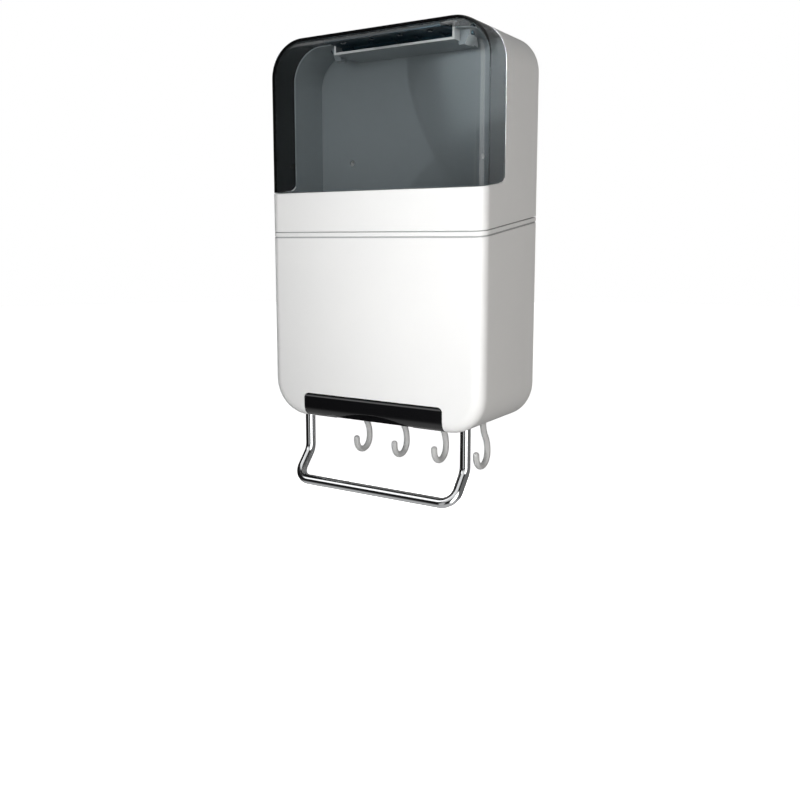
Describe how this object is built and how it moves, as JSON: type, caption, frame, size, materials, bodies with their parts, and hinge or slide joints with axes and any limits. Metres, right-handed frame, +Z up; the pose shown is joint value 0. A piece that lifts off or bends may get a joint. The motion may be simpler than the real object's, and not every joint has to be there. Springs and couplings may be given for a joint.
{
  "type": "chopstick holder with lid",
  "caption": "Wall-hung moulded holder for chopsticks and cutlery with a flip-up see-through lid, a pull-out drip tray, a bent chrome towel bar and sliding hooks underneath.",
  "frame": {"origin": "midway between the two wall screw holes, on the wall plane at the back of the case", "axes": "+X to the right seen from the front, +Y into the wall, so the front faces -Y, and +Z up"},
  "size_m": [0.215, 0.103, 0.3955],
  "materials": {
    "body_white": "glossy white",
    "lid_smoke": "see-through smoked grey",
    "hinge_black": "black",
    "tray_black": "gloss black",
    "inner_grey": "light grey",
    "bar_chrome": "polished",
    "hook_frost": "milky light grey",
    "screw_steel": "plain steel"
  },
  "bodies": {
    "case": {"upper_shell": "body_white", "lower_container": "body_white", "hinge_pin_left": "hinge_black", "hinge_pin_right": "hinge_black", "drain_plate": "inner_grey", "towel_bar": "bar_chrome", "towel_bar_screws": "screw_steel", "hook_rail": "inner_grey", "rail_screws": "screw_steel", "case_screws": "screw_steel"},
    "lid": {"lid": "lid_smoke", "lid_hinge_leaf": "hinge_black"},
    "tray": {"drip_tray": "tray_black"},
    "left_divider": {"divider_left": "inner_grey"},
    "right_divider": {"divider_right": "inner_grey"},
    "first_hook": {"hook_1": "hook_frost"},
    "second_hook": {"hook_2": "hook_frost"},
    "third_hook": {"hook_3": "hook_frost"},
    "fourth_hook": {"hook_4": "hook_frost"}
  },
  "joints": [
    {"name": "lid_hinge", "type": "hinge", "parent": "case", "child": "lid", "pos_m": [0, -0.05, 0.0972], "axis": [-1, 0, 0], "range_deg": [0, 105]},
    {"name": "tray_slide", "type": "slide", "parent": "case", "child": "tray", "axis": [0, -1, 0], "range_m": [0, 0.06]},
    {"name": "left_divider_lift", "type": "slide", "parent": "case", "child": "left_divider", "axis": [0, 0, 1], "range_m": [0, 0.1]},
    {"name": "right_divider_lift", "type": "slide", "parent": "case", "child": "right_divider", "axis": [0, 0, 1], "range_m": [0, 0.1]},
    {"name": "first_hook_slide", "type": "slide", "parent": "case", "child": "first_hook", "axis": [1, 0, 0], "range_m": [-0.003, 0.015]},
    {"name": "second_hook_slide", "type": "slide", "parent": "case", "child": "second_hook", "axis": [1, 0, 0], "range_m": [-0.015, 0.015]},
    {"name": "third_hook_slide", "type": "slide", "parent": "case", "child": "third_hook", "axis": [1, 0, 0], "range_m": [-0.015, 0.015]},
    {"name": "fourth_hook_slide", "type": "slide", "parent": "case", "child": "fourth_hook", "axis": [1, 0, 0], "range_m": [-0.015, 0.003]}
  ]
}
